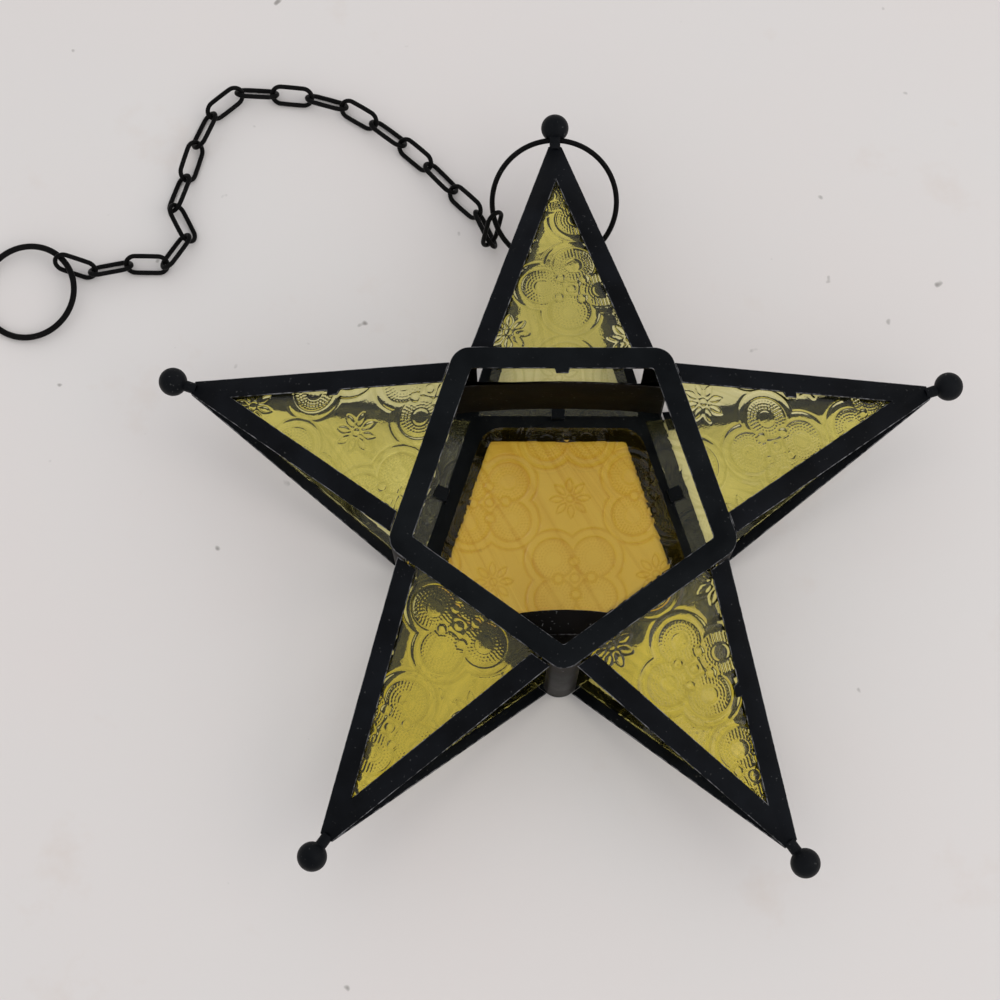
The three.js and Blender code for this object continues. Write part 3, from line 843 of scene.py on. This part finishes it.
def metal_material(name, base, cloud, **values):
    """A lacquered metal made with the worn lacquer group."""
    found = bpy.data.materials.get(name)
    if found:
        return found
    material, tree, shader = bare_material(name)
    values = {"Base": base, "Cloud": cloud, "Bare_and_highlight": BARE_METAL_AND_HIGHLIGHT, **values}
    node = group_node(tree, "Worn Lacquer and Edge Highlight", worn_lacquer_and_highlight_group, values)
    tree.links.new(node.outputs["Color"], shader.inputs["Base Color"])
    tree.links.new(node.outputs["Roughness"], shader.inputs["Roughness"])
    tree.links.new(node.outputs["Normal"], shader.inputs["Normal"])
    shader.inputs["Metallic"].default_value = METALLIC
    shader.inputs["Specular IOR Level"].default_value = METAL_SPECULAR
    return material


def glass_material(name, tint, deep, ridge_shade_colour, shadow):
    """Tinted pressed glass. Light on its way to the table passes through it, faintly tinted."""
    found = bpy.data.materials.get(name)
    if found:
        return found
    material, tree, shader = bare_material(name)
    # The ridge colour paints shade along the pressed ridges, and also gives the thick glass its
    # deeper tint.
    values = {
        "Tint": tint,
        "Deep": deep,
        "Ridge shade": ridge_shade_colour,
        "Ridge shade strength": RIDGE_SHADE_STRENGTH,
        "Ripple": GLASS_RIPPLE,
    }
    node = group_node(tree, "Pressed Glass", pressed_glass_group, values)
    tree.links.new(node.outputs["Color"], shader.inputs["Base Color"])
    tree.links.new(node.outputs["Normal"], shader.inputs["Normal"])
    shader.inputs["Transmission Weight"].default_value = 1.0
    shader.inputs["Roughness"].default_value = GLASS_ROUGHNESS
    shader.inputs["IOR"].default_value = GLASS_IOR
    clear = tree.nodes.new("ShaderNodeBsdfTransparent")
    clear.inputs["Color"].default_value = shadow
    path = tree.nodes.new("ShaderNodeLightPath").outputs
    lighting = math_node(tree, "MAXIMUM", path["Is Shadow Ray"], path["Is Diffuse Ray"])
    mix = tree.nodes.new("ShaderNodeMixShader")
    tree.links.new(lighting, mix.inputs["Fac"])
    tree.links.new(shader.outputs["BSDF"], mix.inputs[1])
    tree.links.new(clear.outputs["BSDF"], mix.inputs[2])
    tree.links.new(mix.outputs["Shader"], tree.nodes["Material Output"].inputs["Surface"])
    return material


def strap_metal():
    base = settings().lacquer
    return metal_material(
        "Strap lacquer",
        base=scaled(base, 0.85),
        cloud=scaled(base, 2.2),
        Wear=0.75,
        Dust=0.12,
    )


def ring_metal():
    base = settings().lacquer
    return metal_material(
        "Ring lacquer",
        base=scaled(base, 0.85, 1.0, 0.95),
        cloud=scaled(base, 2.4, 2.5, 2.2),
        Wear=0.6,
        Dust=0.1,
    )


def ball_metal():
    base = settings().lacquer
    return metal_material(
        "Ball lacquer",
        base=scaled(base, 1.2),
        cloud=scaled(base, 3.2, 3.0, 2.6),
        Wear=0.0,
        Dust=0.2,
        Bump=0.5,
    )


def post_metal():
    """The posts' lacquer is browner and duller."""
    return metal_material(
        "Post lacquer",
        base=(0.008, 0.0073, 0.0067, 1),
        cloud=(0.034, 0.030, 0.026, 1),
        Wear=0.5,
        Dust=0.4,
        Roughness=0.5,
    )


def soot_metal():
    """The sheets near the flame are sooty."""
    return metal_material(
        "Sooty sheet",
        base=(0.003, 0.0024, 0.0019, 1),
        cloud=(0.009, 0.0067, 0.005, 1),
        Wear=0.3,
        Dust=0.3,
        Roughness=0.6,
    )


def wire_metal():
    return metal_material(
        "Blackened wire",
        base=(0.0022, 0.0022, 0.0022, 1),
        cloud=(0.0066, 0.006, 0.006, 1),
        Wear=0.0,
        Dust=0.1,
        Roughness=0.4,
    )


def yellow_glass():
    tint = settings().yellow_tint
    return glass_material(
        "Yellow glass",
        tint=scaled(tint, 1.0),
        deep=scaled(tint, 0.985, 0.965, 0.85),
        ridge_shade_colour=scaled(tint, 0.80, 0.78, 0.55),
        shadow=(0.985, 0.98, 0.94, 1),
    )


def shaded_yellow_glass():
    """The two lower points' panes: the yellow glass again, painted warmer and deeper as shade for
    the longer, slanted way light takes through them.
    """
    tint = settings().yellow_tint
    return glass_material(
        "Shaded yellow glass",
        tint=scaled(tint, 1.0, 0.95, 0.64),
        deep=scaled(tint, 0.98, 0.915, 0.50),
        ridge_shade_colour=scaled(tint, 0.80, 0.75, 0.42),
        shadow=(0.985, 0.975, 0.92, 1),
    )


def amber_glass():
    tint = settings().amber_tint
    return glass_material(
        "Amber glass",
        tint=scaled(tint, 1.0),
        deep=scaled(tint, 0.98, 0.94, 0.82),
        ridge_shade_colour=scaled(tint, 0.82, 0.66, 0.42),
        shadow=(1.0, 0.96, 0.84, 1),
    )


def table_material():
    """A pale table with faint clouds, stains and a few specks."""
    material, tree, shader = bare_material("Pale table")
    base = settings().table_colour
    place = object_place(tree)
    cloud = patches(tree, place, **TABLE_CLOUD)
    colour = mix_colour(tree, cloud, scaled(base, 1.0), scaled(base, 0.985, 1.015, 1.02))
    stain = patches(tree, place, **TABLE_STAIN)
    stain = math_node(tree, "MULTIPLY", stain, STAIN_STRENGTH)
    colour = mix_colour(tree, stain, colour, scaled(base, 0.90, 0.84, 0.78))
    speck = patches(tree, place, **TABLE_SPECK)
    colour = mix_colour(tree, speck, colour, TABLE_SPECK_COLOUR)
    tree.links.new(colour, shader.inputs["Base Color"])
    shader.inputs["Roughness"].default_value = TABLE_ROUGHNESS
    shader.inputs["Specular IOR Level"].default_value = TABLE_SPECULAR
    return material


# The stage.


def build_table():
    bm = bmesh.new()
    bmesh.ops.create_grid(bm, x_segments=1, y_segments=1, size=TABLE_HALF)
    mesh = bpy.data.meshes.new("table")
    bm.to_mesh(mesh)
    bm.free()
    mesh.materials.append(table_material())
    table = add_object("table", mesh)


def build_lights():
    """A soft room all round, and a weak broad lamp at the right."""
    world = bpy.data.worlds.new("Soft room")
    world.use_nodes = True
    tree = world.node_tree
    background = tree.nodes["Background"]
    background.inputs["Color"].default_value = ROOM_COLOUR
    mirrored = tree.nodes.new("ShaderNodeLightPath").outputs["Is Glossy Ray"]
    dimmer = math_node(tree, "MULTIPLY", mirrored, MIRRORED_ROOM - ROOM_LIGHT)
    light = math_node(tree, "ADD", dimmer, ROOM_LIGHT)
    tree.links.new(light, background.inputs["Strength"])
    bpy.context.scene.world = world
    lamp = bpy.data.lights.new("side_light", "AREA")
    lamp.shape = "RECTANGLE"
    lamp.size, lamp.size_y = LAMP_SIZE
    lamp.energy = LAMP_WATTS
    lamp.color = LAMP_COLOUR
    side = add_object("side_light", lamp)
    side.location = LAMP_PLACE
    side.rotation_mode = "QUATERNION"
    side.rotation_quaternion = Vector(LAMP_FACES_FROM).to_track_quat("Z", "Y")


def build_camera():
    data = bpy.data.cameras.new("photo_camera")
    data.sensor_width = CAMERA_SENSOR
    data.lens = CAMERA_LENS
    data.clip_start, data.clip_end = CAMERA_REACH
    camera = add_object("photo_camera", data)
    camera.location = CAMERA_PLACE
    camera.rotation_euler = [math.radians(angle) for angle in CAMERA_TURN]
    bpy.context.scene.camera = camera


# Operators.


class STARLANTERN_OT_drum(bpy.types.Operator):
    """Builds the drum: both rings and the five posts"""

    bl_idname = "starlantern.drum"
    bl_label = "Drum"

    def execute(self, context):
        edged_copy("front_ring", ring_metal())
        edged_copy("back_ring", ring_metal(), width=FINE_EDGE, segments=1)
        for corner in CORNER_NAMES:
            edged_copy(f"post_{corner}", post_metal())
        return {"FINISHED"}


class STARLANTERN_OT_straps(bpy.types.Operator):
    """Builds the V-shaped straps of the five points, front and back"""

    bl_idname = "starlantern.straps"
    bl_label = "Straps"

    def execute(self, context):
        for name in POINT_NAMES:
            for face in ("front", "back"):
                edged_copy(f"{face}_frame_{name}", strap_metal())
        return {"FINISHED"}


class STARLANTERN_OT_glass(bpy.types.Operator):
    """Builds the pressed-glass panes"""

    bl_idname = "starlantern.glass"
    bl_label = "Glass"

    def execute(self, context):
        for name in POINT_NAMES:
            # The lower points take the yellow glass painted deeper, as shade for their slanted
            # light path.
            material = shaded_yellow_glass() if name.startswith("lower") else yellow_glass()
            for face in ("front", "back"):
                pressed_pane(f"{face}_pane_{name}", material)
        amber_pane(amber_glass())
        return {"FINISHED"}


class STARLANTERN_OT_balls(bpy.types.Operator):
    """Builds the ball on each tip, and the eye in the top one"""

    bl_idname = "starlantern.balls"
    bl_label = "Balls"

    def execute(self, context):
        for name, angle, lean in zip(POINT_NAMES, POINT_ANGLES, POINT_LEANS):
            tip_ball(name, angle, lean, ball_metal())
        return {"FINISHED"}


class STARLANTERN_OT_fittings(bpy.types.Operator):
    """Builds the candle dish, its bracket and the heat shield"""

    bl_idname = "starlantern.fittings"
    bl_label = "Fittings"

    def execute(self, context):
        edged_copy("candle_dish", soot_metal())
        edged_copy("dish_bracket", soot_metal())
        edged_copy("heat_shield", soot_metal(), width=FINE_EDGE)
        return {"FINISHED"}


class STARLANTERN_OT_chain(bpy.types.Operator):
    """Builds the hanging ring, the chain's links and the end ring"""

    bl_idname = "starlantern.chain"
    bl_label = "Chain"

    def execute(self, context):
        wire_circle("hanging_ring", HANGING_RING_WIRE, wire_metal())
        wire_circle("end_ring", END_RING_WIRE, wire_metal())
        for i in range(1, CHAIN_LINKS + 1):
            wire_link(f"link_{i}", wire_metal(), i)
        return {"FINISHED"}


class STARLANTERN_OT_stage(bpy.types.Operator):
    """Makes the pale table, the soft light and the camera at the photograph's angle"""

    bl_idname = "starlantern.stage"
    bl_label = "Stage"

    def execute(self, context):
        build_table()
        build_lights()
        build_camera()
        return {"FINISHED"}


class STARLANTERN_PT_panel(bpy.types.Panel):
    """Lists the lantern's settings and its building steps."""

    bl_idname = "STARLANTERN_PT_panel"
    bl_label = "Star Lantern"
    bl_space_type = "VIEW_3D"
    bl_region_type = "UI"
    bl_category = "Star Lantern"

    def draw(self, context):
        layout = self.layout
        for name in StarLanternSettings.__annotations__:
            layout.prop(context.scene.star_lantern, name)
        for operator in OPERATORS:
            layout.operator(operator.bl_idname)


OPERATORS = (
    STARLANTERN_OT_drum,
    STARLANTERN_OT_straps,
    STARLANTERN_OT_glass,
    STARLANTERN_OT_balls,
    STARLANTERN_OT_fittings,
    STARLANTERN_OT_chain,
    STARLANTERN_OT_stage,
)
CLASSES = (StarLanternSettings, *OPERATORS, STARLANTERN_PT_panel)


def register():
    for cls in CLASSES:
        bpy.utils.register_class(cls)
    bpy.types.Scene.star_lantern = PointerProperty(type=StarLanternSettings)


def unregister():
    del bpy.types.Scene.star_lantern
    for cls in reversed(CLASSES):
        bpy.utils.unregister_class(cls)


def main():
    register()
    bpy.ops.starlantern.drum()
    bpy.ops.starlantern.straps()
    bpy.ops.starlantern.glass()
    bpy.ops.starlantern.balls()
    bpy.ops.starlantern.fittings()
    bpy.ops.starlantern.chain()
    bpy.ops.starlantern.stage()
    bpy.context.scene.view_settings.view_transform = "Standard"


if __name__ == "__main__":
    main()
